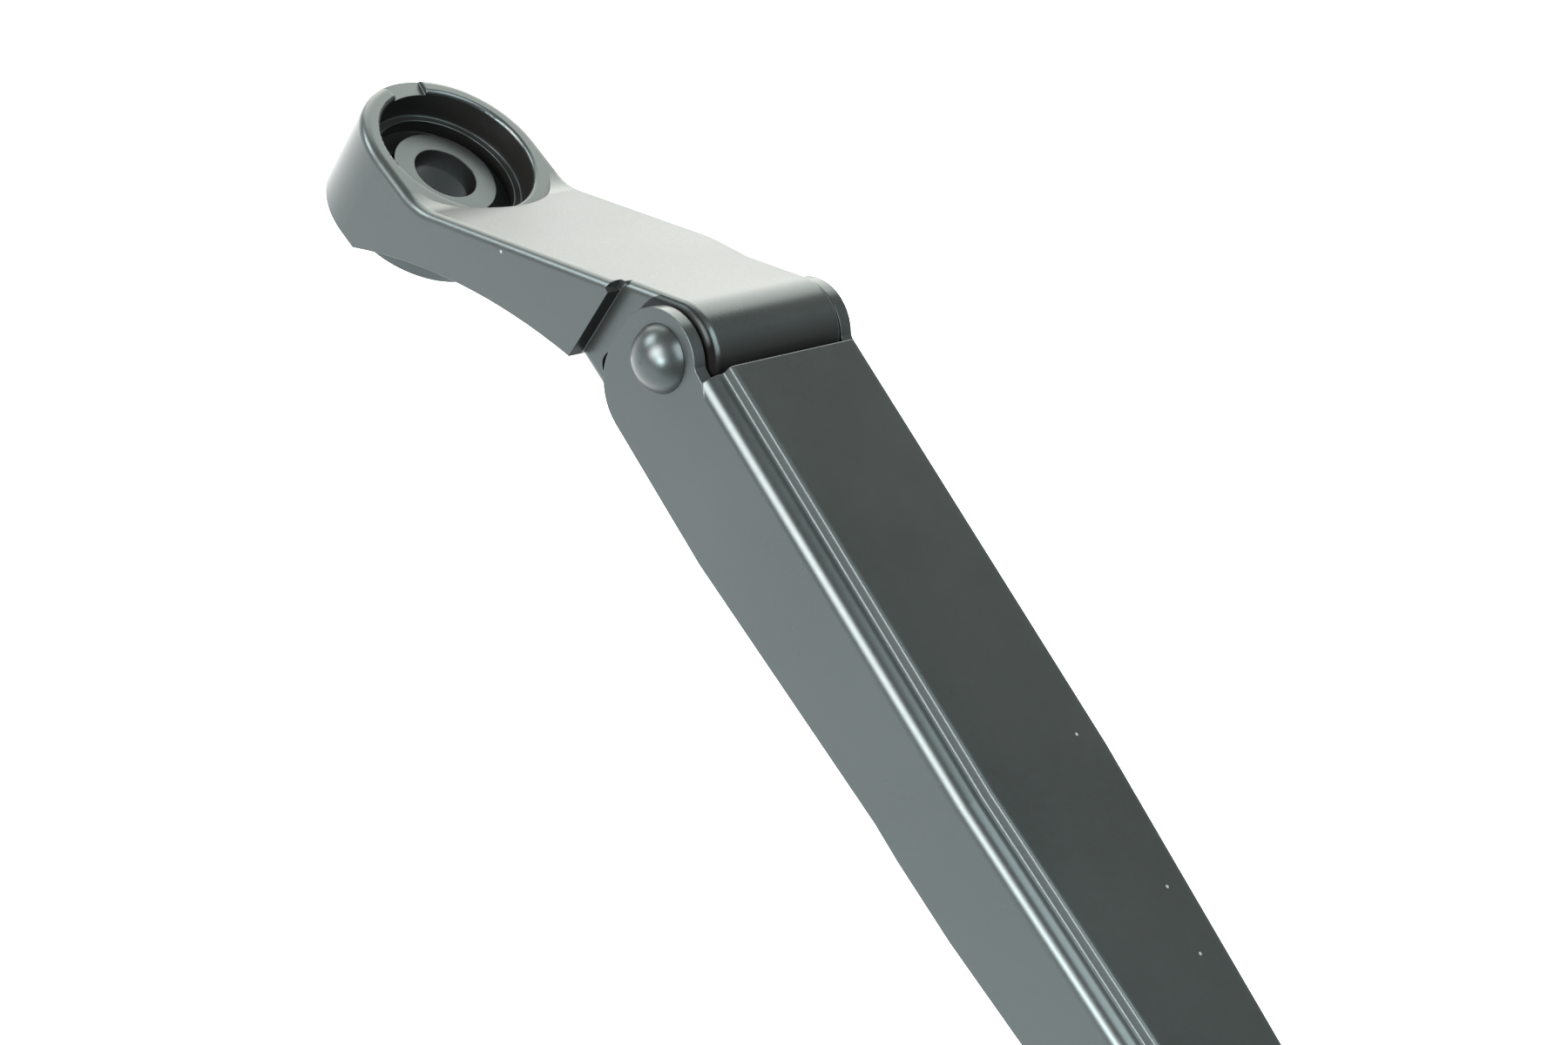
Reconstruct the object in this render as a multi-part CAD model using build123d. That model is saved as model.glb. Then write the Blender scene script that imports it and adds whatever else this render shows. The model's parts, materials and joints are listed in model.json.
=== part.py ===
from build123d import *
import math
import os

# Windscreen wiper arm. Millimetres, +Z up along the spindle, +X from the hub towards the hinge.
# The origin is on the spindle axis, at the seat of the nut.

# Hub of the cast head
hub_radius = 13.5
hub_height = 13.3
boss_radius = 11.55
rim_radius = 10.9
lip_round = 0.5
rim_face_margin = 0.5
cup_depth = 4.5
seat_radius = 7.3
groove_radius = 9.9
groove_depth = 2.0
spindle_radius = 4.4
land_length = 3.0
cone_radius = 5.6
notch_depth = 0.8
notch_angle = 30.0
notch_centre = 184.5

# Sloped body of the cast head
slope_start = 8.8
slope_blend = 9.0
taper_start = 33.0
taper_blend = 14.0
wall_root_x = 2.8
wall_end_drop = 11.7
wall_bow = 2.2
wall_thickness = 3.0
skin_thickness = 3.5
end_wall = 4.0
rib_thickness = 2.5
edge_round = 1.2

# Hinge and the tongue that carries it
hinge_x = 51.5
hinge_rise = 17.5
barrel_radius = 6.8
step_distance = 11.2
step_notch_depth = 1.6
step_notch_length = 0.7
slot_width = 4.2
slot_room = 1.0
slot_angle = 31.0
stop_length = 11.0
stop_half_width = 8.5
stop_height = 5.0

# Hinge rivet and its bushes
rivet_radius = 3.0
rivet_head_radius = 4.3
rivet_head_height = 3.0
bush_wall = 1.0
bush_flange_radius = 5.0
bush_flange_thickness = 0.35

# Spring anchor pin, placed from the hinge axis, and the link on it
anchor_back = 6.2
anchor_drop = 8.8
anchor_radius = 2.0
anchor_recess = 3.0
anchor_lobe_radius = 3.6
link_length = 29.0
link_thickness = 3.0
link_width = 3.4
link_bend_depth = 6.3
link_bend_start = 7.5
link_bend_end = 19.5
link_bend_radius = 4.0
link_eye_radius = 3.6

# Tension spring
wire_radius = 1.0
coil_radius = 3.75
coil_full_turns = 26
hook_leg = 2.0
hook_turn = 60.0

# Pressed channel, in its own frame: X along it from the hinge axis, Z out of its top
channel_slope = 8.1
channel_start = 6.2
channel_taper_start = 65.0
channel_end = 160.0
channel_overhang = 0.3
channel_end_half_width = 9.1
sheet = 1.9
ledge_height = 5.0
ledge_width = 2.7
riser_run = 0.2
riser_height = 1.5
corner_round = 2.2
riser_round = 0.4
side_depth = 16.9
side_full_length = 22.0
side_waist_depth = 13.9
side_waist_start = 60.0
side_waist_end = 76.0
side_end_depth = 9.0
side_end_round = 3.0
ear_radius = 6.5
ear_shift = 0.1
ear_drop = 0.7
ear_lean = 9.0
ear_root_angle = 46.0
ear_root_drop = 1.2
ear_root_round = 0.8
ear_corner_round = 7.5

# Flat bar with the blade hook
bar_width = 9.0
bar_thickness = 4.0
bar_end = 395.0
bar_anchor = 108.0
bar_anchor_drop = 3.7
bar_front_margin = 5.0
bar_crank_start = 115.0
bar_crank_end = 125.0
bar_bend_radius = 6.0
bar_corner_round = 2.5
hook_gap_radius = 3.3
hook_return = 18.0
bar_rivet_radius = 2.5
bar_rivet_head_radius = 4.2
bar_rivet_head_height = 1.5
bar_rivet_first = 131.0
bar_rivet_spacing = 20.0

# Clearances
running_clearance = 0.05
fixed_clearance = 0.02
thrust_clearance = 0.15
stop_clearance = 0.3
hook_clearance = 0.7
bar_hole_clearance = 1.2
tolerance = 0.01

# Values worked out from the sizes above
rim_z = cup_depth
cut_reach = hinge_x + hub_radius
channel_half_width = hub_radius + channel_overhang
hub_bottom_z = rim_z - hub_height
hinge_z = rim_z + hinge_rise
step_x = hinge_x - step_distance
slope_angle = math.degrees(
    math.atan2(hinge_rise, hinge_x - slope_start)
    + math.asin(barrel_radius / math.hypot(hinge_rise, hinge_x - slope_start))
)
slope_rate = math.tan(math.radians(slope_angle))
wall_end_z = hinge_z - wall_end_drop
panel_height = ledge_height + riser_height
ceiling_height = panel_height - sheet
bush_radius = rivet_radius + running_clearance + bush_wall
ear_inner = channel_half_width - sheet
tongue_half_width = ear_inner - bush_flange_thickness - thrust_clearance
bar_height = ceiling_height - bar_thickness / 2
anchor_height = bar_height - bar_anchor_drop
arm_place = Pos(hinge_x, 0, hinge_z) * Rot(0, channel_slope, 0)


def slope_z(x):
    """Height of the head's sloped top at a distance from the spindle."""
    return rim_z + (x - slope_start) * slope_rate


def to_channel(x, z):
    """Turn a place given from the hinge axis in the head's directions into the channel's directions."""
    turn = math.radians(channel_slope)
    return (x * math.cos(turn) - z * math.sin(turn), x * math.sin(turn) + z * math.cos(turn))


def across(profile, half_width):
    """Extrude a side profile (X, Z) evenly to both sides of the middle plane."""
    return extrude(Plane.XZ * profile, amount=half_width, both=True)


def half_width_at(x):
    """Outer half width of the channel: even, then tapering to its far end."""
    share = max(0.0, (x - channel_taper_start) / (channel_end - channel_taper_start))
    return channel_half_width + share * (channel_end_half_width - channel_half_width)


def rivet(radius, grip, head_radius, head_height):
    """Rivet with a domed head at each end of its grip, turned about Z and centred on the origin."""
    end = grip / 2
    tip = end + head_height
    low_dome = TangentArc((0, -tip), (head_radius, -end), tangent=(1, 0))
    shank = Polyline((head_radius, -end), (radius, -end), (radius, end), (head_radius, end))
    top_dome = TangentArc((0, tip), (head_radius, end), tangent=(1, 0))
    axis = Line((0, tip), (0, -tip))
    return revolve(Plane.XZ * make_face([low_dome, *shank.edges(), top_dome, axis]), Axis.Z)


def head_blank():
    """Hub and sloped body: a plan outline cut by a side outline, with the top's outer edge rounded."""
    body = make_face(
        Polyline(
            (0, -hub_radius),
            (step_x, -hub_radius),
            (step_x, tongue_half_width),
            (taper_start, hub_radius),
            (0, hub_radius),
            close=True,
        )
    )
    taper_corner = [v for v in body.vertices() if abs(v.X - taper_start) < tolerance]
    plan = Circle(hub_radius) + fillet(taper_corner, taper_blend)
    block = Pos(0, 0, hub_bottom_z) * extrude(plan, amount=slope_z(step_x) - hub_bottom_z)
    top_line = FilletPolyline(
        (-2 * hub_radius, rim_z),
        (slope_start, rim_z),
        (step_x, slope_z(step_x)),
        radius=slope_blend,
    )
    ends = Polyline(
        (step_x, slope_z(step_x)),
        (step_x, hub_bottom_z),
        (-2 * hub_radius, hub_bottom_z),
        (-2 * hub_radius, rim_z),
    )
    blank = block & across(make_face([*top_line.edges(), *ends.edges()]), hub_radius)
    outer_edges = ShapeList()
    for face in blank.faces().filter_by(lambda f: f.normal_at().Z > math.cos(math.radians(45))):
        for edge in face.edges():
            point = edge.position_at(0.5)
            if abs(point.Y) > tongue_half_width or point.X < -tongue_half_width:
                outer_edges.append(edge)
    return fillet(outer_edges, edge_round)


def head_undercut():
    """Space below the rising lower edge of the side walls, round the boss under the hub."""
    rise = wall_end_z - hub_bottom_z
    run = step_x - wall_root_x
    chord = math.hypot(run, rise)
    middle = (
        wall_root_x + run / 2 - wall_bow * rise / chord,
        hub_bottom_z + rise / 2 + wall_bow * run / chord,
    )
    rising_line = ThreePointArc((wall_root_x, hub_bottom_z), middle, (step_x, wall_end_z))
    below = Polyline(
        (step_x, wall_end_z),
        (step_x, hub_bottom_z),
        (wall_root_x, hub_bottom_z),
    )
    space = across(make_face([rising_line, *below.edges()]), hub_radius)
    return space - Pos(0, 0, hub_bottom_z) * Cylinder(boss_radius, cut_reach)


def head_hub_cut():
    """Space in the hub: flat rim face, rounded lip, cup, groove round the nut seat, land and cone."""
    top = rim_z + cut_reach
    face_radius = hub_radius - rim_face_margin
    lip_middle = lip_round * (1 - math.sqrt(0.5))
    inner_line = Polyline(
        (rim_radius + lip_round, rim_z),
        (face_radius, rim_z),
        (face_radius, top),
        (0, top),
        (0, hub_bottom_z),
        (cone_radius, hub_bottom_z),
        (spindle_radius, -land_length),
        (spindle_radius, 0),
        (seat_radius, 0),
        (seat_radius, -groove_depth),
        (groove_radius, -groove_depth),
        (groove_radius, 0),
        (rim_radius, 0),
        (rim_radius, rim_z - lip_round),
    )
    lip = ThreePointArc(
        (rim_radius, rim_z - lip_round),
        (rim_radius + lip_middle, rim_z - lip_middle),
        (rim_radius + lip_round, rim_z),
    )
    return revolve(Plane.XZ * make_face([*inner_line.edges(), lip]), Axis.Z)


def head_pocket():
    """Hollow underside of the sloped body, with a rib left standing in the middle."""
    drop = skin_thickness / math.cos(math.radians(slope_angle))
    far = step_x - end_wall
    outline = Polyline(
        (slope_start, slope_z(slope_start) - drop),
        (far, slope_z(far) - drop),
        (far, hub_bottom_z),
        (slope_start, hub_bottom_z),
        close=True,
    )
    pocket = across(make_face(outline), hub_radius - wall_thickness)
    hub = Pos(0, 0, hub_bottom_z) * Cylinder(
        hub_radius + wall_thickness, cut_reach, align=(Align.CENTER, Align.CENTER, Align.MIN)
    )
    rib = across(make_face(outline), rib_thickness / 2)
    return pocket - hub - rib


def head_tongue():
    """Tongue, knuckle barrel, anchor lobe and the stop that the channel rests on."""
    barrel = Circle(barrel_radius)
    lobe = Pos(-anchor_back, -anchor_drop) * Circle(anchor_lobe_radius)
    root_x = -step_distance - end_wall / 2
    root = Line((root_x, slope_z(hinge_x + root_x) - hinge_z), (root_x, -wall_end_drop))
    tongue = across(make_hull(barrel.edges() + lobe.edges() + root.edges()), tongue_half_width)
    turn = math.radians(slope_angle)
    crown_edges = ShapeList()
    for edge in tongue.edges():
        point = edge.position_at(0.5)
        on_face = abs(abs(point.Y) - tongue_half_width) < tolerance
        above = -point.X * math.sin(turn) + point.Z * math.cos(turn)
        if on_face and (above > barrel_radius - tolerance or point.X > anchor_back / 2):
            crown_edges.append(edge)
    tongue = fillet(crown_edges, edge_round)
    stop_top = ceiling_height - stop_clearance
    stop = Rot(0, channel_slope, 0) * Pos(stop_length / 2, 0, stop_top - stop_height / 2) * Box(
        stop_length, 2 * stop_half_width, stop_height
    )
    return Pos(hinge_x, 0, hinge_z) * (tongue + stop)


def arm_head():
    """The casting: hub, sloped hollow body, tongue and knuckle."""
    head = head_blank() - head_undercut() - head_pocket() - head_hub_cut()
    reach = 2 * hub_radius
    sector = [(0, 0)]
    for side in (-0.5, 0.5):
        angle = math.radians(notch_centre + side * notch_angle)
        sector.append((reach * math.cos(angle), reach * math.sin(angle)))
    notch = extrude(make_face(Polyline(*sector, close=True)), amount=reach)
    head -= Pos(0, 0, rim_z - notch_depth) * notch
    head += head_tongue()
    step_width = hub_radius - tongue_half_width
    head -= Pos(step_x, -hub_radius, slope_z(step_x)) * Box(
        2 * step_notch_length, 2 * step_width, 2 * step_notch_depth
    )
    hinge = Pos(hinge_x, 0, hinge_z)
    slot = Box(cut_reach, slot_width, cut_reach, align=(Align.CENTER, Align.CENTER, Align.MAX))
    slot_back = anchor_back * math.cos(math.radians(slot_angle)) + anchor_drop * math.sin(
        math.radians(slot_angle)
    )
    slot_start = cut_reach / 2 - slot_back - anchor_lobe_radius - hook_clearance - slot_room
    head -= hinge * Rot(0, -slot_angle, 0) * Pos(slot_start, 0, 0) * slot
    head -= hinge * Rot(90, 0, 0) * Cylinder(bush_radius + fixed_clearance, cut_reach)
    head -= hinge * Pos(-anchor_back, 0, -anchor_drop) * Rot(90, 0, 0) * Cylinder(
        anchor_radius + fixed_clearance, cut_reach
    )
    return head


def pivot_rivet():
    """Hinge rivet with a domed head on each ear."""
    upright = rivet(rivet_radius, 2 * channel_half_width, rivet_head_radius, rivet_head_height)
    return arm_place * Rot(90, 0, 0) * upright


def pivot_bush(side):
    """Flanged bush in one end of the knuckle, seen from the hinge axis."""
    inner = slot_width / 2
    length = tongue_half_width - inner
    bush = Pos(0, 0, inner) * Cylinder(
        bush_radius, length, align=(Align.CENTER, Align.CENTER, Align.MIN)
    )
    bush += Pos(0, 0, tongue_half_width) * Cylinder(
        bush_flange_radius, bush_flange_thickness, align=(Align.CENTER, Align.CENTER, Align.MIN)
    )
    bush -= Cylinder(rivet_radius + running_clearance, cut_reach)
    return Pos(hinge_x, 0, hinge_z) * Rot(-90 * side, 0, 0) * bush


def spring_anchor_pin():
    """Plain pin across the tongue, set in from both faces."""
    pin = Rot(90, 0, 0) * Cylinder(anchor_radius, 2 * (tongue_half_width - anchor_recess))
    return Pos(hinge_x - anchor_back, 0, hinge_z - anchor_drop) * pin


def spring_line():
    """Anchor pin, link eye and rear anchor in the channel's frame, and the line's angle."""
    pin = to_channel(-anchor_back, -anchor_drop)
    rise = anchor_height - pin[1]
    run = bar_anchor - pin[0]
    angle = math.atan2(rise, run)
    eye = (pin[0] + link_length * math.cos(angle), pin[1] + link_length * math.sin(angle))
    return pin, eye, (bar_anchor, anchor_height), angle


def spring_link():
    """Flat link that bends below the hinge rivet, with an eye at each end."""
    pin, _, _, angle = spring_line()
    route = FilletPolyline(
        (0, 0),
        (link_bend_start, -link_bend_depth),
        (link_bend_end, -link_bend_depth),
        (link_length, 0),
        radius=link_bend_radius,
    )
    pin_hole = anchor_radius + running_clearance
    eye_hole = wire_radius + hook_clearance
    plan = trace(route, link_width)
    plan += Circle(pin_hole + link_width / 2)
    plan += Pos(link_length, 0) * Circle(link_eye_radius)
    plan -= Circle(pin_hole)
    plan -= Pos(link_length, 0) * Circle(eye_hole)
    link = across(plan, link_thickness / 2)
    return arm_place * Pos(pin[0], 0, pin[1]) * Rot(0, -math.degrees(angle), 0) * link


def tension_spring():
    """Coil with a hook at each end, the front hook lying flat and the rear one upright."""
    _, eye, rear, angle = spring_line()
    length = math.dist(eye, rear)
    coil_start = coil_radius + hook_leg
    coil_length = length - 2 * coil_start
    coil_turns = coil_full_turns + (90 - 2 * hook_turn) / 360
    helix = Helix(coil_length / coil_turns, coil_length, coil_radius)
    coil = Pos(0, 0, coil_start) * Rot(0, 0, hook_turn) * helix.edges()[0]
    loop_end = (coil_radius, 0, coil_radius)
    loop = Edge.make_three_point_arc((-coil_radius, 0, coil_radius), (0, 0, 0), loop_end)
    lead = Edge.make_spline([loop_end, coil @ 0], tangents=[(0, 0, 1), coil % 0])
    other_end = Pos(0, 0, length) * Rot(0, 0, 2 * hook_turn + 360 * coil_turns) * Rot(180, 0, 0)
    path = Wire([loop, lead, coil, other_end * lead, other_end * loop])
    spring = sweep(Plane(path @ 0, z_dir=path % 0) * Circle(wire_radius), path=path)
    frame = Plane(
        origin=(eye[0], 0, eye[1]),
        x_dir=(0, 1, 0),
        z_dir=(math.cos(angle), 0, math.sin(angle)),
    )
    return arm_place * frame.location * spring


def channel_section(x, inset):
    """Cross-section of the channel's outside, or of its inside one sheet further in."""
    half = half_width_at(x)
    riser_turn = math.atan2(riser_height, riser_run)
    shift = inset * math.tan(riser_turn / 2)
    side_y = half - inset
    foot_y = half - ledge_width - shift
    crest_y = foot_y - riser_run
    low = -cut_reach
    corners = [
        (-side_y, low),
        (-side_y, ledge_height - inset),
        (-foot_y, ledge_height - inset),
        (-crest_y, panel_height - inset),
        (crest_y, panel_height - inset),
        (foot_y, ledge_height - inset),
        (side_y, ledge_height - inset),
        (side_y, low),
    ]
    section = make_face(Polyline(*corners, close=True))
    if inset == 0:
        riser_bends = section.vertices().filter_by(lambda v: abs(v.X) < side_y - ledge_width / 2)
        section = fillet(riser_bends, riser_round)
        outer_bends = section.vertices().filter_by(lambda v: abs(v.X) > side_y - tolerance and v.Y > 0)
        section = fillet(outer_bends, corner_round)
    return Plane(origin=(x, 0, 0), x_dir=(0, 1, 0), z_dir=(1, 0, 0)) * section


def channel_ear(side):
    """One ear: round about the hinge, with a straight back edge and a rounded lower corner."""
    lean = math.radians(ear_lean)
    bottom = ledge_height - side_depth
    touch = (-ear_shift - ear_radius * math.cos(lean), -ear_drop - ear_radius * math.sin(lean))
    corner = (touch[0] + (touch[1] - bottom) * math.tan(lean), bottom)
    root = math.radians(ear_root_angle)
    root_point = (ear_radius * math.cos(root) - ear_shift, ear_radius * math.sin(root) - ear_drop)
    far = channel_start + sheet
    plate = make_face(
        Polyline(
            touch,
            corner,
            (far, bottom),
            (far, ledge_height - corner_round),
            (channel_start, ledge_height - ear_root_drop),
            root_point,
            close=True,
        )
    )
    low_corner = plate.vertices().sort_by(Axis.Y).filter_by(lambda v: v.X < 0)[0]
    plate = fillet(low_corner, ear_corner_round) + Pos(-ear_shift, -ear_drop) * Circle(ear_radius)
    root_corner = plate.vertices().sort_by_distance((*root_point, 0))[0]
    plate = fillet(root_corner, ear_root_round)
    ear = extrude(Plane.XZ * plate, amount=sheet / 2, both=True)
    return Pos(0, side * (channel_half_width - sheet / 2), 0) * ear


def arm_channel():
    """Pressed channel with raised centre panel, ears at the hinge and holes for the rivets."""
    stations = (channel_start, channel_taper_start, channel_end)
    outside = loft([channel_section(x, 0) for x in stations], ruled=True)
    inside = loft([channel_section(x, sheet) for x in stations], ruled=True)
    lower_edge = Polyline(
        (channel_start, ledge_height - side_depth),
        (side_full_length, ledge_height - side_depth),
        (side_waist_start, ledge_height - side_waist_depth),
        (side_waist_end, ledge_height - side_waist_depth),
        (channel_end, ledge_height - side_end_depth),
        (channel_end, cut_reach),
        (channel_start, cut_reach),
        close=True,
    )
    side_view = make_face(lower_edge)
    end_corner = side_view.vertices().filter_by(lambda v: v.Y < 0).sort_by(Axis.X)[-1]
    channel = (outside - inside) & across(fillet(end_corner, side_end_round), cut_reach)
    for side in (-1, 1):
        channel += channel_ear(side)
    channel -= Rot(90, 0, 0) * Cylinder(rivet_radius + fixed_clearance, cut_reach)
    for x in bar_rivet_places():
        channel -= Pos(x, 0, panel_height) * Cylinder(bar_rivet_radius + fixed_clearance, 4 * sheet)
    return arm_place * channel


def bar_rivet_places():
    """Distances of the bar rivets from the hinge axis."""
    return (bar_rivet_first, bar_rivet_first + bar_rivet_spacing)


def arm_bar():
    """Flat bar: cranked front end with the spring's hole, straight run and blade hook."""
    front = bar_anchor - bar_front_margin
    hook_radius = hook_gap_radius + bar_thickness / 2
    low = bar_height - 2 * hook_radius
    tip = bar_end - hook_return
    run = FilletPolyline(
        (front, anchor_height),
        (bar_crank_start, anchor_height),
        (bar_crank_end, bar_height),
        (bar_end, bar_height),
        radius=bar_bend_radius,
    )
    bend = ThreePointArc(
        (bar_end, bar_height),
        (bar_end + hook_radius, bar_height - hook_radius),
        (bar_end, low),
    )
    route = Wire([*run.edges(), bend, Edge.make_line((bar_end, low), (tip, low))])
    bar = across(trace(route, bar_thickness), bar_width / 2)
    bar = fillet(bar.edges().filter_by(Axis.Z), bar_corner_round)
    bar -= Pos(bar_anchor, 0, anchor_height) * Cylinder(
        wire_radius + bar_hole_clearance, 2 * bar_thickness
    )
    for x in bar_rivet_places():
        bar -= Pos(x, 0, bar_height) * Cylinder(bar_rivet_radius + fixed_clearance, 2 * bar_thickness)
    return arm_place * bar


def bar_rivets():
    """Two rivets through the channel's panel and the bar."""
    grip = sheet + bar_thickness
    upright = rivet(bar_rivet_radius, grip, bar_rivet_head_radius, bar_rivet_head_height)
    middle = panel_height - grip / 2
    return arm_place * Compound([Pos(x, 0, middle) * upright for x in bar_rivet_places()])


def main():
    os.makedirs("parts", exist_ok=True)
    pieces = {
        "arm_head": arm_head(),
        "pivot_rivet": pivot_rivet(),
        "pivot_bush_left": pivot_bush(1),
        "pivot_bush_right": pivot_bush(-1),
        "spring_anchor_pin": spring_anchor_pin(),
        "spring_link": spring_link(),
        "tension_spring": tension_spring(),
        "arm_channel": arm_channel(),
        "arm_bar": arm_bar(),
        "bar_rivets": bar_rivets(),
    }
    for name, piece in pieces.items():
        export_step(piece, f"parts/{name}.step")


main()
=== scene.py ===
import json
import math

import bpy
from bpy.props import FloatProperty, FloatVectorProperty, IntProperty, PointerProperty
from bpy.types import Operator, Panel, PropertyGroup
from mathutils import Matrix, Vector


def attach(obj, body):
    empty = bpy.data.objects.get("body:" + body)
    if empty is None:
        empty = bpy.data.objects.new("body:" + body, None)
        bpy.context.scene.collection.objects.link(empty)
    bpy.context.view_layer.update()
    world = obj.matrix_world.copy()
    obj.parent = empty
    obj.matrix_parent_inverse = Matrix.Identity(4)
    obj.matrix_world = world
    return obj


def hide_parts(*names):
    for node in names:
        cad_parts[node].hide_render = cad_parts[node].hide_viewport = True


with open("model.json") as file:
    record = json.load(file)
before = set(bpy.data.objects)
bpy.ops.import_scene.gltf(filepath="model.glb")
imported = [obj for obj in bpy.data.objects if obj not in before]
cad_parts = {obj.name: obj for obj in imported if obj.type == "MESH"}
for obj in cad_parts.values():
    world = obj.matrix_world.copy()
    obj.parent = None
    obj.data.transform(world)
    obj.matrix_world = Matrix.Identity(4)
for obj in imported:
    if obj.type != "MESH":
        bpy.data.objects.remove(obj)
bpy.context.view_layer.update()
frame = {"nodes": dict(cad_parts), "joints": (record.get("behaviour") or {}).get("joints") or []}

bl_info = {
    "name": "Wiper arm",
    "version": (1, 0, 0),
    "blender": (4, 5, 0),
    "location": "View3D > Sidebar > Wiper arm",
    "description": "Paints the wiper arm's pieces, winds its spring and sets a pale studio",
    "category": "Object",
}

# Octaves of the noises
CLOUD_DETAIL = 3.0
RIPPLE_DETAIL = 2.0
FLOW_DETAIL = 3.0
STAIN_DETAIL = 4.0
PLATING_DETAIL = 5.0
GRIT_DETAIL = 3.0
LINE_DETAIL = 2.0
NOISE_MEAN = 0.5

# Rays of the Bevel node
SOFT_SAMPLES = 8


def length(name, description, default):
    """A length property in metres."""
    return FloatProperty(
        name=name, description=description, default=default, min=0.0, precision=5, unit="LENGTH"
    )


def share(name, description, default):
    """A property from nothing to one."""
    return FloatProperty(
        name=name, description=description, default=default, min=0.0, max=1.0, subtype="FACTOR"
    )


def place(name, description, default):
    """A place in metres."""
    return FloatVectorProperty(
        name=name, description=description, default=default, size=3, precision=5, subtype="TRANSLATION"
    )


def colour(name, description, default):
    """A linear colour."""
    return FloatVectorProperty(
        name=name, description=description, default=default, size=3, min=0.0, max=1.0, subtype="COLOR"
    )


def angle(name, description, degrees):
    """An angle, its default given in degrees."""
    return FloatProperty(
        name=name, description=description, default=math.radians(degrees), subtype="ANGLE"
    )


def power(name, description, watts):
    """A light's power in watts."""
    return FloatProperty(name=name, description=description, default=watts, min=0.0, unit="POWER")


def count(name, description, default, least):
    """A whole number."""
    return IntProperty(name=name, description=description, default=default, min=least)


class WiperPaint(PropertyGroup):
    """Satin black paint of the head, the channel, the bar and the rivets."""

    deep: colour("Deep colour", "Darker colour of the paint", (0.0045, 0.0050, 0.0048))
    worn: colour("Pale colour", "Lighter colour of the paint", (0.0100, 0.0108, 0.0104))
    roughness: share("Roughness", "Mean roughness of the paint", 0.30)
    rivet_roughness: share("Rivet roughness", "Mean roughness of the rivets' paint", 0.30)
    roughness_range: share("Roughness range", "How far the roughness wanders", 0.08)
    cloud_size: length("Cloud size", "Size of the paint's slow changes", 0.022)
    peel_size: length("Peel size", "Size of the ripples in the paint", 0.0009)
    peel_depth: length("Peel depth", "Depth of the ripples in the paint", 0.0000035)
    cast_size: length("Casting grain size", "Size of the grain under the head's paint", 0.0004)
    cast_depth: length("Casting grain depth", "Depth of the grain under the head's paint", 0.0000030)
    # Painted shade: this grease colour and the masks from here to the cup's grease end lay a dull dark
    # coat where the head lies in shade. It covers the hub's bore and cup wall, the pin hole, the step's
    # end face, the cheeks beside the ears and the knuckle's front.
    painted_shade: colour("Grease colour", "Dull grease in the head's hollows and hinge", (0.004, 0.004, 0.004))
    painted_shade_share: share("Grease share", "How much of the paint the grease hides", 0.75)
    bore_radius: length("Grease radius", "Radius of the greased middle of the hub", 0.00992)
    bore_start: length("Grease start", "Depth under the nut's seat where the grease starts", 0.00015)
    bore_end: length("Grease end", "Depth under the nut's seat where the grease ends", 0.0087)
    hole_radius: length("Pin hole radius", "Radius of the greased pin hole", 0.00206)
    hole_reach: length("Pin hole reach", "Half the length of the greased pin hole", 0.01130)
    step_place: length("Step place", "Distance of the head's step from the spindle", 0.0403)
    step_margin: length("Step margin", "How far from the step's end face its grease reaches", 0.00005)
    step_inner: length("Step inner edge", "Half the width of the tongue behind the step", 0.0115)
    cheek_radius: length("Cheek radius", "Radius of the grease between the knuckle and an ear", 0.0074)
    cheek_inner: length("Cheek inner edge", "Half the width of the knuckle between the cheeks", 0.0109)
    front_start: length("Front start", "Where the knuckle's grease starts, from the spindle", 0.0540)
    front_depth: length("Front depth", "Length over which the knuckle's grease thickens", 0.0030)
    cup_radius: length("Cup radius", "Radius of the cup's wall", 0.01090)
    cup_margin: length("Cup margin", "How far from the cup's wall its grease reaches", 0.00005)
    cup_start: length("Cup grease start", "Where the wall's grease starts, over the nut's seat", 0.0003)
    cup_end: length("Cup grease end", "Where the wall's grease ends, over the nut's seat", 0.0039)
    bead_place: length("Bead place", "Half the distance between the panel's bends", 0.0110)
    bead_half: length("Bead half width", "Half the width of the duller paint at a bend", 0.0007)
    bead_dull: share("Bead dullness", "Roughness that the bends add", 0.12)
    taper_start: length("Taper start", "Where the bends start to draw together", 0.1167)
    taper: share("Taper", "How fast each bend draws in", 0.0497)
    edge_radius: length("Edge radius", "How softly the paint turns over sharp edges", 0.0002)
    sheen: colour("Sheen colour", "Tint of the light that the paint throws back", (0.76, 0.97, 1.0))
    dust: colour("Dust colour", "Colour of the few dust specks", (0.10, 0.11, 0.10))
    dust_radius: length("Dust radius", "Radius of a dust speck", 0.00022)
    wall_speck: place("Wall speck", "Dust speck on the head's near wall", (0.02372, -0.01350, 0.01179))
    knuckle_speck: place("Knuckle speck", "Dust speck on the knuckle", (0.05157, 0.00261, 0.02800))
    first_speck: place("First panel speck", "Dust speck on the channel", (0.11428, 0.00706, 0.01963))
    second_speck: place("Second panel speck", "Dust speck on the channel", (0.13459, 0.00641, 0.01674))
    third_speck: place("Third panel speck", "Dust speck on the channel", (0.14298, 0.00512, 0.01555))


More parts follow.
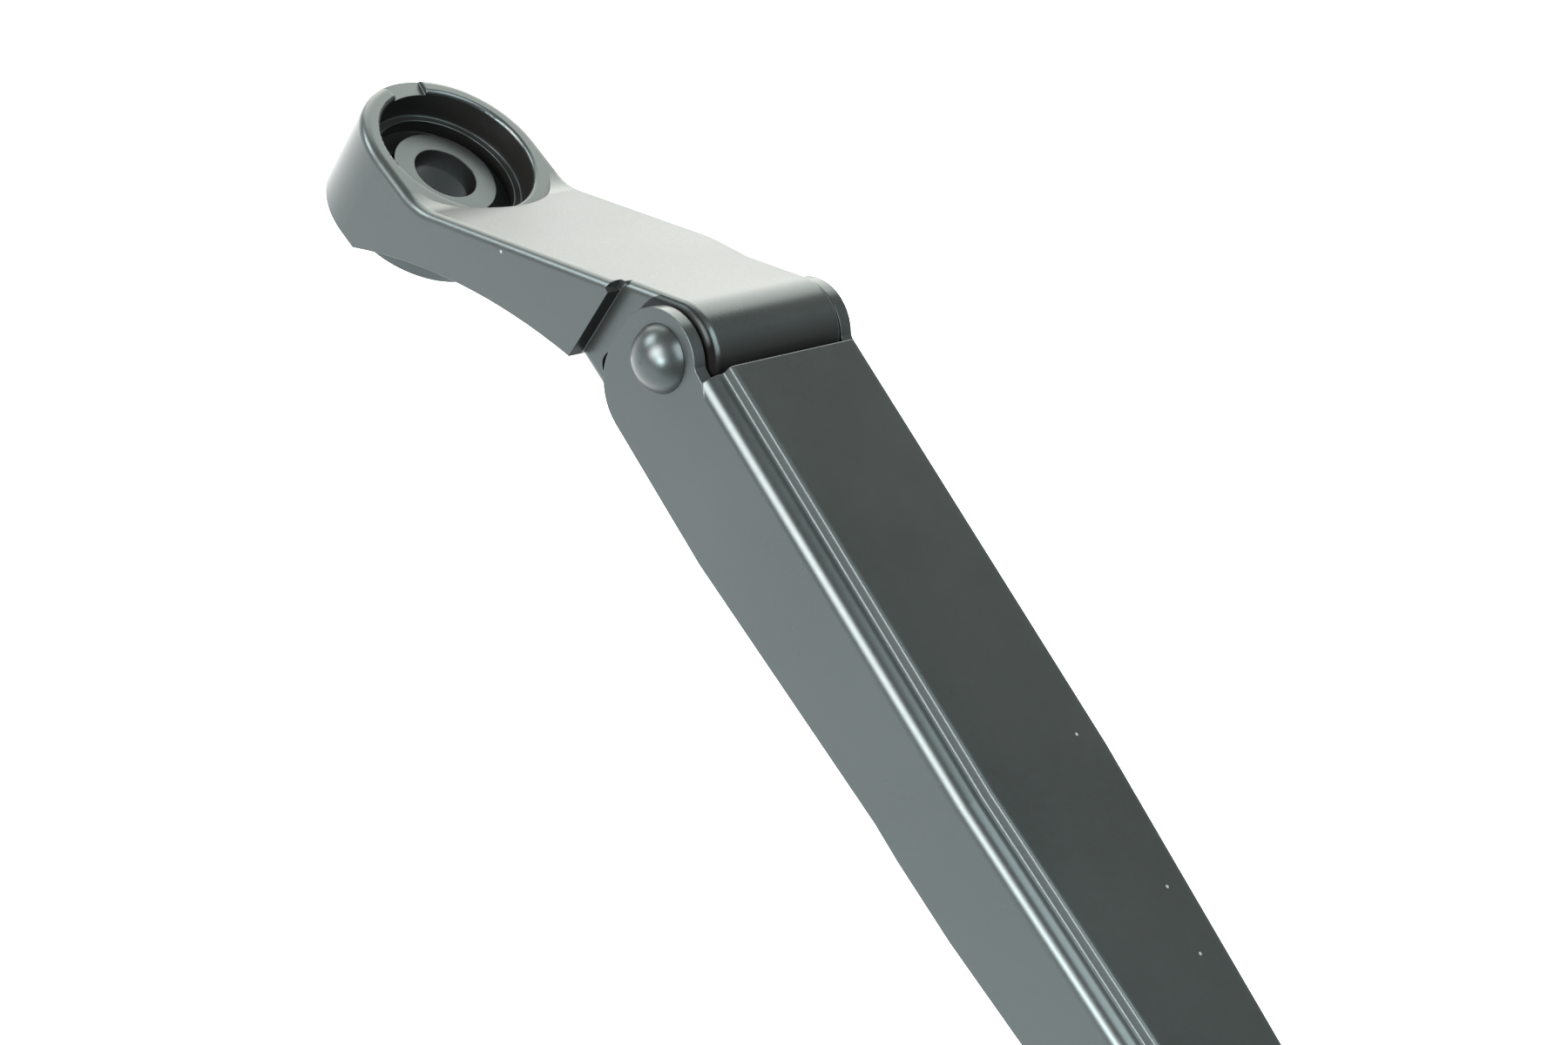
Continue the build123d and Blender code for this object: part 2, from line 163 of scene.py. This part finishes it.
class WiperMetal(PropertyGroup):
    """Bare metal and plastic pieces inside the channel."""

    zinc: colour("Zinc colour", "Plating of the spring link", (0.50, 0.49, 0.45))
    zinc_dull: colour("Dull zinc colour", "Dull patches of the plating", (0.30, 0.30, 0.29))
    zinc_roughness: share("Zinc roughness", "Roughness of the plating", 0.36)
    steel: colour("Steel colour", "Oiled steel of the anchor pin", (0.15, 0.15, 0.155))
    steel_roughness: share("Steel roughness", "Roughness of the ground steel", 0.26)
    wire: colour("Wire colour", "Drawn spring wire", (0.20, 0.20, 0.205))
    wire_dark: colour("Dark wire colour", "Oiled patches of the spring wire", (0.075, 0.075, 0.08))
    wire_roughness: share("Wire roughness", "Roughness of the spring wire", 0.34)
    plastic: colour("Plastic colour", "Plastic of the bushes", (0.018, 0.018, 0.019))
    plastic_pale: colour("Pale plastic colour", "Paler flow marks in the bushes", (0.032, 0.032, 0.033))
    plastic_roughness: share("Plastic roughness", "Roughness of the bushes", 0.48)
    plastic_range: share("Plastic range", "How much rougher the bushes' flow marks are", 0.10)
    patch_range: share("Patch range", "How much rougher the metal's patches are", 0.12)
    stain_share: share("Stain share", "How much the anchor pin's stains show", 0.5)
    grain_size: length("Grain size", "Size of the metal's patches", 0.004)
    line_size: length("Line size", "Spacing of the fine tool lines", 0.00035)
    line_depth: length("Line depth", "Depth of the fine tool lines", 0.000002)


class WiperSpring(PropertyGroup):
    """The tension spring, wound as two halves that slide apart as the arm lifts."""

    link_length: length("Link length", "From the anchor pin to the front hook's bend", 0.0290)
    wire_radius: length("Wire radius", "Radius of the wire", 0.0010)
    coil_radius: length("Coil radius", "Radius of the coil's middle line", 0.00375)
    front_draw: length("Front draw", "How much narrower the coil is at its front hook", 0.0006)
    hook_leg: length("Hook leg", "Straight part of a hook", 0.0020)
    full_turns: count("Turns", "Turns of the coil", 26, 1)
    hook_turn: angle("Hook turn", "Turn between a hook and the coil's end", 60.0)
    shared_turns: count("Shared turns", "Turns that both halves have at rest", 2, 0)
    tuck: share("Tuck", "Share of the wire's radius in the shared turns", 0.97)
    turn_steps: count("Turn steps", "Steps in one turn", 28, 8)
    lead_steps: count("Lead steps", "Steps from a hook onto the coil", 9, 2)
    ring_steps: count("Ring steps", "Steps round the wire", 10, 6)


class WiperStage(PropertyGroup):
    """Floor, lights and camera."""

    floor_drop: length("Floor drop", "Floor's distance under the spindle seat", 0.300)
    floor_half: length("Floor half width", "Half the width of the floor", 6.0)
    floor_colour: colour("Floor colour", "Pale floor", (0.84, 0.86, 0.885))
    floor_roughness: share("Floor roughness", "Roughness of the floor", 0.9)
    sky: FloatProperty(name="Sky", description="Strength of the even light", default=0.6, min=0.0)
    sky_colour: colour("Sky colour", "Colour of the even light", (0.96, 1.0, 0.94))
    near_turn: angle("Near light turn", "Near light's turn from +X", -100.0)
    near_rise: angle("Near light rise", "Near light's angle above the level", 19.0)
    near_width: length("Near light width", "Width of the near light", 0.80)
    near_height: length("Near light height", "Height of the near light", 1.10)
    near_spread: angle("Near light spread", "How far the near light fans out", 50.0)
    near_colour: colour("Near light colour", "Colour of the near light", (1.0, 0.88, 0.85))
    near_power: power("Near light power", "Power of the near light", 7.8)
    back_turn: angle("Back light turn", "Back light's turn from +X", 151.0)
    back_rise: angle("Back light rise", "Back light's angle above the level", 19.0)
    back_width: length("Back light width", "Width of the back light", 1.15)
    back_height: length("Back light height", "Height of the back light", 1.02)
    back_colour: colour("Back light colour", "Colour of the back light", (1.0, 0.985, 0.92))
    back_power: power("Back light power", "Power of the back light", 17.0)
    spot_turn: angle("Spot turn", "Small light's turn from +X", -72.0)
    spot_rise: angle("Spot rise", "Small light's angle above the level", 13.0)
    spot_width: length("Spot width", "Width of the small light", 0.30)
    spot_power: power("Spot power", "Power of the small light", 13.0)
    edge_turn: angle("Edge light turn", "Edge light's turn from +X", -146.0)
    edge_rise: angle("Edge light rise", "Edge light's angle above the level", 14.0)
    edge_width: length("Edge light width", "Width of the edge light", 0.50)
    edge_spread: angle("Edge light spread", "How far the edge light fans out", 40.0)
    edge_power: power("Edge light power", "Power of the light on the head's near edge", 0.9)
    top_place: place("Top light", "Place of the top light", (0.75, 0.10, 1.50))
    top_width: length("Top light width", "Width of the top light", 1.40)
    top_power: power("Top light power", "Power of the top light", 65.0)
    light_distance: length("Light distance", "Distance of the side lights", 1.0)
    target: place("Target", "Place that the lights point at", (0.05, 0.0, 0.015))
    lens: FloatProperty(
        name="Lens", description="Focal length of the camera", default=67.912, unit="CAMERA"
    )
    camera_place: place("Camera", "Place of the camera", (0.196764, -0.254774, 0.233126))
    camera_tilt: angle("Camera tilt", "Turn of the camera about X", 46.0176)
    camera_roll: angle("Camera roll", "Turn of the camera about Y", -27.1668)
    camera_turn: angle("Camera turn", "Turn of the camera about Z", 50.0994)


class WiperArm(PropertyGroup):
    """All settings of the wiper arm."""

    paint: PointerProperty(type=WiperPaint)
    metal: PointerProperty(type=WiperMetal)
    spring: PointerProperty(type=WiperSpring)
    stage: PointerProperty(type=WiperStage)


class Value:
    """A shader socket on which Python's arithmetic makes Math nodes."""

    def __init__(self, finish, socket):
        self.finish = finish
        self.socket = socket

    def math(self, operation, first, second):
        return self.finish.node("ShaderNodeMath", {"operation": operation}, {0: first, 1: second})

    def __add__(self, other):
        return self.math("ADD", self, other)

    def __radd__(self, other):
        return self.math("ADD", other, self)

    def __sub__(self, other):
        return self.math("SUBTRACT", self, other)

    def __rsub__(self, other):
        return self.math("SUBTRACT", other, self)

    def __mul__(self, other):
        return self.math("MULTIPLY", self, other)

    def __rmul__(self, other):
        return self.math("MULTIPLY", other, self)

    def __truediv__(self, other):
        return self.math("DIVIDE", self, other)

    def __rtruediv__(self, other):
        return self.math("DIVIDE", other, self)

    def __abs__(self):
        return self.math("ABSOLUTE", self, 0.0)

    def at_least(self, other):
        return self.math("MAXIMUM", self, other)

    def __lt__(self, other):
        return self.math("LESS_THAN", self, other)

    def __gt__(self, other):
        return self.math("GREATER_THAN", self, other)


class Finish:
    """A material being built: its node tree and its Principled shader."""

    def __init__(self, name):
        self.material = bpy.data.materials.new(name)
        self.material.use_nodes = True
        self.tree = self.material.node_tree
        self.shader = self.tree.nodes["Principled BSDF"]
        self.place = self.node("ShaderNodeTexCoord", {}, {}, "Object")

    def node(self, kind, settings, sockets, out=0):
        """Add a node: settings first, then each socket's value or link. Gives one of its outputs."""
        node = self.tree.nodes.new(kind)
        for key, setting in settings.items():
            setattr(node, key, setting)
        for key, given in sockets.items():
            self.feed(node.inputs[key], given)
        return Value(self, node.outputs[out])

    def feed(self, socket, given):
        """Link a socket, or set its constant. A colour gets its alpha."""
        if isinstance(given, Value):
            self.tree.links.new(given.socket, socket)
        elif socket.type == "RGBA":
            socket.default_value = (*given, 1.0)
        else:
            socket.default_value = given

    def set(self, **sockets):
        """Feed the shader's own sockets, named with underscores for spaces."""
        for key, given in sockets.items():
            self.feed(self.shader.inputs[key.replace("_", " ").title()], given)

    def noise(self, size, detail):
        """Even noise from nothing to one with features of a size in metres."""
        return self.node(
            "ShaderNodeTexNoise", {}, {"Vector": self.place, "Scale": 1.0 / size, "Detail": detail}, "Fac"
        )

    def part(self, index):
        """One coordinate of the place: 0, 1 or 2."""
        return self.node("ShaderNodeSeparateXYZ", {}, {"Vector": self.place}, index)

    def near(self, point, radius):
        """One within a radius of a point, nothing elsewhere."""
        distance = self.node(
            "ShaderNodeVectorMath", {"operation": "DISTANCE"}, {0: self.place, 1: Vector(point)}, "Value"
        )
        return distance < radius

    def mix(self, factor, first, second):
        """Colour between two."""
        return self.node("ShaderNodeMix", {"data_type": "RGBA"}, {0: factor, 6: first, 7: second}, 2)

    def lay_painted_shade(self, factor, shade):
        """Lay painted shade, a dull dark diffuse shader, over the shader where the factor is one."""
        shade_layer = self.node("ShaderNodeBsdfDiffuse", {}, {"Color": shade})
        shader = Value(self, self.shader.outputs[0])
        mixed = self.node("ShaderNodeMixShader", {}, {0: factor, 1: shader, 2: shade_layer})
        self.feed(self.tree.nodes["Material Output"].inputs["Surface"], mixed)

    def soft(self, radius):
        """Normal that turns softly over sharp edges."""
        return self.node("ShaderNodeBevel", {"samples": SOFT_SAMPLES}, {"Radius": radius})

    def bump(self, height, depth, **below):
        """Normal bent by a height from nothing to one, scaled to a depth in metres."""
        sockets = {"Strength": 1.0, "Distance": depth, "Height": height, **below}
        return self.node("ShaderNodeBump", {}, sockets)


def joint_place(name):
    """Place of a joint in the frame."""
    return Vector(next(joint["pos_m"] for joint in frame["joints"] if joint["name"] == name))


def off_axis(x, z, axis):
    """Square of the distance from an axis along Y."""
    return (x - axis.x) * (x - axis.x) + (z - axis.z) * (z - axis.z)


def dress(finish, *names):
    """Give CAD nodes a finish."""
    for name in names:
        mesh = frame["nodes"][name].data
        mesh.materials.clear()
        mesh.materials.append(finish.material)


def satin_paint(finish, paint, mean_roughness, ripple_size, ripple_depth, specks):
    """Satin black paint with slow clouds, fine ripples and dust specks."""
    cloud = finish.noise(paint.cloud_size, CLOUD_DETAIL)
    ripple = finish.noise(ripple_size, RIPPLE_DETAIL)
    body = finish.mix(cloud, paint.deep, paint.worn)
    wander = (cloud - NOISE_MEAN) * paint.roughness_range + (ripple - NOISE_MEAN) * paint.roughness_range
    roughness = wander + mean_roughness
    dusty = 0.0
    for speck in specks:
        dusty = finish.near(speck, paint.dust_radius) + dusty
    if specks:
        body = finish.mix(dusty, body, paint.dust)
        roughness = roughness + dusty * (1.0 - mean_roughness)
    finish.set(
        base_color=body,
        roughness=roughness,
        specular_tint=paint.sheen,
        normal=finish.bump(ripple, ripple_depth, Normal=finish.soft(paint.edge_radius)),
    )


class WIPER_OT_head(Operator):
    """Paint the cast head"""

    bl_idname = "wiper.head"
    bl_label = "Paint the head"

    def execute(self, context):
        paint = context.scene.wiper_arm.paint
        specks = (paint.wall_speck, paint.knuckle_speck)
        finish = Finish("cast_paint")
        satin_paint(finish, paint, paint.roughness, paint.cast_size, paint.cast_depth, specks)
        x, y, z = (finish.part(index) for index in range(3))
        # Painted shade: these masks darken the hub's bore and cup wall, the pin hole, the step's end
        # face, the cheeks beside the ears and the knuckle's front, where shade falls.
        out = x * x + y * y
        bore = (out < paint.bore_radius**2) * (z < -paint.bore_start) * (z > -paint.bore_end)
        inner = (paint.cup_radius - paint.cup_margin) ** 2
        outer = (paint.cup_radius + paint.cup_margin) ** 2
        wall = (out > inner) * (out < outer) * (z > paint.cup_start) * (z < paint.cup_end)
        off_pin = off_axis(x, z, joint_place("link_swing"))
        hole = (off_pin < paint.hole_radius**2) * (abs(y) < paint.hole_reach)
        step = (abs(x - paint.step_place) < paint.step_margin) * (abs(y) > paint.step_inner)
        off_hinge = off_axis(x, z, joint_place("arm_lift"))
        cheek = (off_hinge < paint.cheek_radius**2) * (abs(y) > paint.cheek_inner)
        front = ((x - paint.front_start) / paint.front_depth).at_least(0.0)
        finish.lay_painted_shade((bore + wall + hole + step + cheek + front) * paint.painted_shade_share, paint.painted_shade)
        dress(finish, "arm_head")
        return {"FINISHED"}


class WIPER_OT_channel(Operator):
    """Paint the pressed channel"""

    bl_idname = "wiper.channel"
    bl_label = "Paint the channel"

    def execute(self, context):
        paint = context.scene.wiper_arm.paint
        specks = (paint.first_speck, paint.second_speck, paint.third_speck)
        finish = Finish("sheet_paint")
        drawn_in = (finish.part(0) - paint.taper_start).at_least(0.0) * paint.taper
        off_bead = abs(abs(finish.part(1)) + drawn_in - paint.bead_place)
        roughness = (off_bead < paint.bead_half) * paint.bead_dull + paint.roughness
        satin_paint(finish, paint, roughness, paint.peel_size, paint.peel_depth, specks)
        dress(finish, "arm_channel")
        return {"FINISHED"}


class WIPER_OT_bar(Operator):
    """Paint the flat bar"""

    bl_idname = "wiper.bar"
    bl_label = "Paint the bar"

    def execute(self, context):
        paint = context.scene.wiper_arm.paint
        finish = Finish("bar_paint")
        satin_paint(finish, paint, paint.roughness, paint.peel_size, paint.peel_depth, ())
        dress(finish, "arm_bar")
        return {"FINISHED"}


class WIPER_OT_rivets(Operator):
    """Paint the hinge rivet and the bar rivets"""

    bl_idname = "wiper.rivets"
    bl_label = "Paint the rivets"

    def execute(self, context):
        paint = context.scene.wiper_arm.paint
        finish = Finish("rivet_paint")
        satin_paint(finish, paint, paint.rivet_roughness, paint.peel_size, paint.peel_depth, ())
        dress(finish, "pivot_rivet", "bar_rivets")
        return {"FINISHED"}


class WIPER_OT_bushes(Operator):
    """Finish the plastic bushes in the knuckle"""

    bl_idname = "wiper.bushes"
    bl_label = "Finish the bushes"

    def execute(self, context):
        metal = context.scene.wiper_arm.metal
        finish = Finish("bush_plastic")
        flow = finish.noise(metal.grain_size, FLOW_DETAIL)
        fine = finish.noise(metal.line_size, LINE_DETAIL)
        finish.set(
            base_color=finish.mix(flow, metal.plastic, metal.plastic_pale),
            roughness=flow * metal.plastic_range + metal.plastic_roughness,
            normal=finish.bump(fine, metal.line_depth),
        )
        dress(finish, "pivot_bush_left", "pivot_bush_right")
        return {"FINISHED"}


class WIPER_OT_pin(Operator):
    """Finish the ground anchor pin"""

    bl_idname = "wiper.pin"
    bl_label = "Finish the anchor pin"

    def execute(self, context):
        metal = context.scene.wiper_arm.metal
        finish = Finish("pin_steel")
        stain = finish.noise(metal.grain_size, STAIN_DETAIL)
        rings = finish.node(
            "ShaderNodeTexNoise",
            {"noise_dimensions": "1D"},
            {"W": finish.part(1), "Scale": 1.0 / metal.line_size, "Detail": LINE_DETAIL},
            "Fac",
        )
        finish.set(
            base_color=finish.mix(stain * metal.stain_share, metal.steel, metal.wire_dark),
            metallic=1.0,
            roughness=stain * metal.patch_range + metal.steel_roughness,
            normal=finish.bump(rings, metal.line_depth),
        )
        dress(finish, "spring_anchor_pin")
        return {"FINISHED"}


class WIPER_OT_link(Operator):
    """Finish the zinc plated spring link"""

    bl_idname = "wiper.link"
    bl_label = "Finish the spring link"

    def execute(self, context):
        metal = context.scene.wiper_arm.metal
        finish = Finish("link_steel")
        stain = finish.noise(metal.grain_size, PLATING_DETAIL)
        fine = finish.noise(metal.line_size, GRIT_DETAIL)
        finish.set(
            base_color=finish.mix(stain, metal.zinc, metal.zinc_dull),
            metallic=1.0,
            roughness=fine * metal.patch_range + metal.zinc_roughness,
            normal=finish.bump(fine, metal.line_depth),
        )
        dress(finish, "spring_link")
        return {"FINISHED"}


def spring_wire(metal):
    """Finish of the drawn spring wire."""
    finish = Finish("spring_steel")
    oil = finish.noise(metal.grain_size, STAIN_DETAIL)
    fine = finish.noise(metal.line_size, LINE_DETAIL)
    finish.set(
        base_color=finish.mix(oil, metal.wire, metal.wire_dark),
        metallic=1.0,
        roughness=oil * metal.patch_range + metal.wire_roughness,
        normal=finish.bump(fine, metal.line_depth),
    )
    return finish.material


def curve_between(start, start_way, end, end_way, steps):
    """Points of a smooth curve between two places with a heading at each."""
    reach = (end - start).length
    points = []
    for step in range(steps + 1):
        t = step / steps
        points.append(
            (2 * t**3 - 3 * t**2 + 1) * start
            + (t**3 - 2 * t**2 + t) * reach * start_way.normalized()
            + (3 * t**2 - 2 * t**3) * end
            + (t**3 - t**2) * reach * end_way.normalized()
        )
    return points


def hook_onto(coil, loop, steps):
    """Points of a hook's loop and of its lead onto the start of a coil."""
    lead = curve_between(loop[-1], Vector((0, 0, 1)), coil[0], coil[1] - coil[0], steps)
    return loop[:-1] + lead[:-1]


def spring_points(spring, total):
    """Point lists of the front hook, the coil and the rear hook of a spring of a total length.

    The coil starts narrower at the front and has its full radius from its middle on.
    """
    radius = spring.coil_radius
    coil_start = radius + spring.hook_leg
    coil_length = total - 2 * coil_start
    turns = spring.full_turns + (math.pi / 2 - 2 * spring.hook_turn) / math.tau
    half_turn = [math.pi * (1 - step / spring.turn_steps) for step in range(spring.turn_steps + 1)]
    loop = [Vector((radius * math.cos(a), 0, radius - radius * math.sin(a))) for a in half_turn]
    steps = round(turns * spring.turn_steps)
    coil = []
    for step in range(steps + 1):
        turn = spring.hook_turn + math.tau * turns * step / steps
        rise = coil_start + coil_length * step / steps
        out = radius - spring.front_draw * max(0.0, 1 - 2 * step / steps)
        coil.append(Vector((out * math.cos(turn), out * math.sin(turn), rise)))
    coil_turn = 2 * spring.hook_turn + math.tau * turns
    over = Matrix.Rotation(coil_turn, 4, "Z") @ Matrix.Rotation(math.pi, 4, "X")
    flip = Matrix.Translation((0, 0, total)) @ over
    front_hook = hook_onto(coil, loop, spring.lead_steps)
    rear_hook = hook_onto([flip @ point for point in reversed(coil)], loop, spring.lead_steps)
    return front_hook, coil, [flip @ point for point in reversed(rear_hook)]


def wire_piece(name, points, radii, ring_steps):
    """Mesh of a round wire along points, with a closed end at each side."""
    ways = []
    for index in range(len(points)):
        before = points[max(index - 1, 0)]
        after = points[min(index + 1, len(points) - 1)]
        ways.append((after - before).normalized())
    side = ways[0].orthogonal().normalized()
    vertices = []
    faces = []
    for index, (point, way) in enumerate(zip(points, ways)):
        side = (side - side.dot(way) * way).normalized()
        other = way.cross(side)
        for step in range(ring_steps):
            turn = math.tau * step / ring_steps
            vertices.append(point + radii[index] * (math.cos(turn) * side + math.sin(turn) * other))
        if index:
            low = (index - 1) * ring_steps
            for step in range(ring_steps):
                ahead = (step + 1) % ring_steps
                ring = (low + step, low + ahead, low + ring_steps + ahead, low + ring_steps + step)
                faces.append(ring)
    last = (len(points) - 1) * ring_steps
    faces.append(tuple(reversed(range(ring_steps))))
    faces.append(tuple(range(last, last + ring_steps)))
    mesh = bpy.data.meshes.new(name)
    mesh.from_pydata(vertices, [], faces)
    mesh.polygons.foreach_set("use_smooth", [len(face) == 4 for face in faces])
    mesh.validate()
    piece = bpy.data.objects.new(name, mesh)
    bpy.context.scene.collection.objects.link(piece)
    return piece


class WIPER_OT_spring(Operator):
    """Wind the tension spring as a front half and a rear half"""

    bl_idname = "wiper.spring"
    bl_label = "Wind the spring"

    def execute(self, context):
        spring = context.scene.wiper_arm.spring
        pin = joint_place("link_swing")
        reach = joint_place("spring_swing") - pin
        way = reach.normalized()
        level = Vector((0, 1, 0))
        axes = Matrix((level, way.cross(level), way)).transposed().to_4x4()
        put = Matrix.Translation(pin + spring.link_length * way) @ axes
        front_hook, coil, rear_hook = spring_points(spring, reach.length - spring.link_length)
        middle = len(coil) // 2
        shared = spring.shared_turns * spring.turn_steps
        front = [put @ point for point in front_hook + coil[: middle + shared + 1]]
        front_radii = [spring.wire_radius] * len(front)
        front_radii[-shared:] = [spring.wire_radius * spring.tuck] * shared
        rear = [put @ point for point in coil[middle:] + rear_hook]
        rear_radii = [spring.wire_radius] * len(rear)
        material = spring_wire(context.scene.wiper_arm.metal)
        for name, points, radii, body in (
            ("spring_front", front, front_radii, "link"),
            ("spring_rear", rear, rear_radii, "spring"),
        ):
            piece = wire_piece(name, points, radii, spring.ring_steps)
            piece.data.materials.append(material)
            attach(piece, body)
            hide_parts("tension_spring")
        return {"FINISHED"}


class WIPER_OT_stage(Operator):
    """Set the floor, the lights and the camera"""

    bl_idname = "wiper.stage"
    bl_label = "Set the stage"

    def execute(self, context):
        scene = context.scene
        stage = scene.wiper_arm.stage
        self.floor(scene, stage)
        near_place = self.away(stage, stage.near_turn, stage.near_rise)
        near_size = (stage.near_width, stage.near_height)
        near = self.light(stage, "near_light", near_place, near_size, stage.near_power)
        near.spread = stage.near_spread
        near.color = stage.near_colour
        back_place = self.away(stage, stage.back_turn, stage.back_rise)
        back_size = (stage.back_width, stage.back_height)
        back = self.light(stage, "back_light", back_place, back_size, stage.back_power)
        back.color = stage.back_colour
        spot_place = self.away(stage, stage.spot_turn, stage.spot_rise)
        spot_size = (stage.spot_width, stage.spot_width)
        self.light(stage, "spot_light", spot_place, spot_size, stage.spot_power)
        edge_place = self.away(stage, stage.edge_turn, stage.edge_rise)
        edge_size = (stage.edge_width, stage.edge_width)
        edge = self.light(stage, "edge_light", edge_place, edge_size, stage.edge_power)
        edge.spread = stage.edge_spread
        top_size = (stage.top_width, stage.top_width)
        self.light(stage, "top_light", Vector(stage.top_place), top_size, stage.top_power)
        world = bpy.data.worlds.new("even_light")
        world.use_nodes = True
        background = world.node_tree.nodes["Background"]
        background.inputs["Color"].default_value = (*stage.sky_colour, 1.0)
        background.inputs["Strength"].default_value = stage.sky
        scene.world = world
        scene.view_settings.view_transform = "Standard"
        camera = bpy.data.cameras.new("camera")
        camera.lens = stage.lens
        holder = bpy.data.objects.new("camera", camera)
        holder.location = stage.camera_place
        holder.rotation_euler = (stage.camera_tilt, stage.camera_roll, stage.camera_turn)
        scene.collection.objects.link(holder)
        scene.camera = holder
        return {"FINISHED"}

    def away(self, stage, turn, rise):
        """Place of a side light, by its turn from +X and its rise above the level."""
        flat = math.cos(rise)
        way = Vector((flat * math.cos(turn), flat * math.sin(turn), math.sin(rise)))
        return Vector(stage.target) + stage.light_distance * way

    def floor(self, scene, stage):
        """Plain pale floor."""
        half = stage.floor_half
        corners = [(-half, -half, 0), (half, -half, 0), (half, half, 0), (-half, half, 0)]
        mesh = bpy.data.meshes.new("floor")
        mesh.from_pydata(corners, [], [(0, 1, 2, 3)])
        floor = bpy.data.objects.new("floor", mesh)
        floor.location.z = -stage.floor_drop
        scene.collection.objects.link(floor)
        finish = Finish("floor_paper")
        finish.set(base_color=stage.floor_colour, roughness=stage.floor_roughness)
        mesh.materials.append(finish.material)

    def light(self, stage, name, spot, size, watts):
        """Rectangular soft light that points at the target and isn't seen by the camera."""
        light = bpy.data.lights.new(name, "AREA")
        light.shape = "RECTANGLE"
        light.size, light.size_y = size
        light.energy = watts
        holder = bpy.data.objects.new(name, light)
        holder.location = spot
        holder.rotation_euler = (Vector(stage.target) - spot).to_track_quat("-Z", "Y").to_euler()
        holder.visible_camera = False
        bpy.context.scene.collection.objects.link(holder)
        return light


class WIPER_PT_panel(Panel):
    """Sidebar list of the steps and their settings"""

    bl_idname = "WIPER_PT_panel"
    bl_label = "Wiper arm"
    bl_space_type = "VIEW_3D"
    bl_region_type = "UI"
    bl_category = "Wiper arm"

    def draw(self, context):
        settings = context.scene.wiper_arm
        for step in STEPS:
            self.layout.operator(step.bl_idname)
        for group in (settings.paint, settings.metal, settings.spring, settings.stage):
            box = self.layout.box()
            for key in group.__annotations__:
                box.prop(group, key)


STEPS = (
    WIPER_OT_head,
    WIPER_OT_channel,
    WIPER_OT_bar,
    WIPER_OT_rivets,
    WIPER_OT_bushes,
    WIPER_OT_pin,
    WIPER_OT_link,
    WIPER_OT_spring,
    WIPER_OT_stage,
)
GROUPS = (WiperPaint, WiperMetal, WiperSpring, WiperStage, WiperArm)


def register():
    for item in (*GROUPS, *STEPS, WIPER_PT_panel):
        bpy.utils.register_class(item)
    bpy.types.Scene.wiper_arm = PointerProperty(type=WiperArm)


def unregister():
    del bpy.types.Scene.wiper_arm
    for item in reversed((*GROUPS, *STEPS, WIPER_PT_panel)):
        bpy.utils.unregister_class(item)


def main():
    register()
    bpy.ops.wiper.head()
    bpy.ops.wiper.channel()
    bpy.ops.wiper.bar()
    bpy.ops.wiper.rivets()
    bpy.ops.wiper.bushes()
    bpy.ops.wiper.pin()
    bpy.ops.wiper.link()
    bpy.ops.wiper.spring()
    bpy.ops.wiper.stage()


if __name__ == "__main__":
    main()
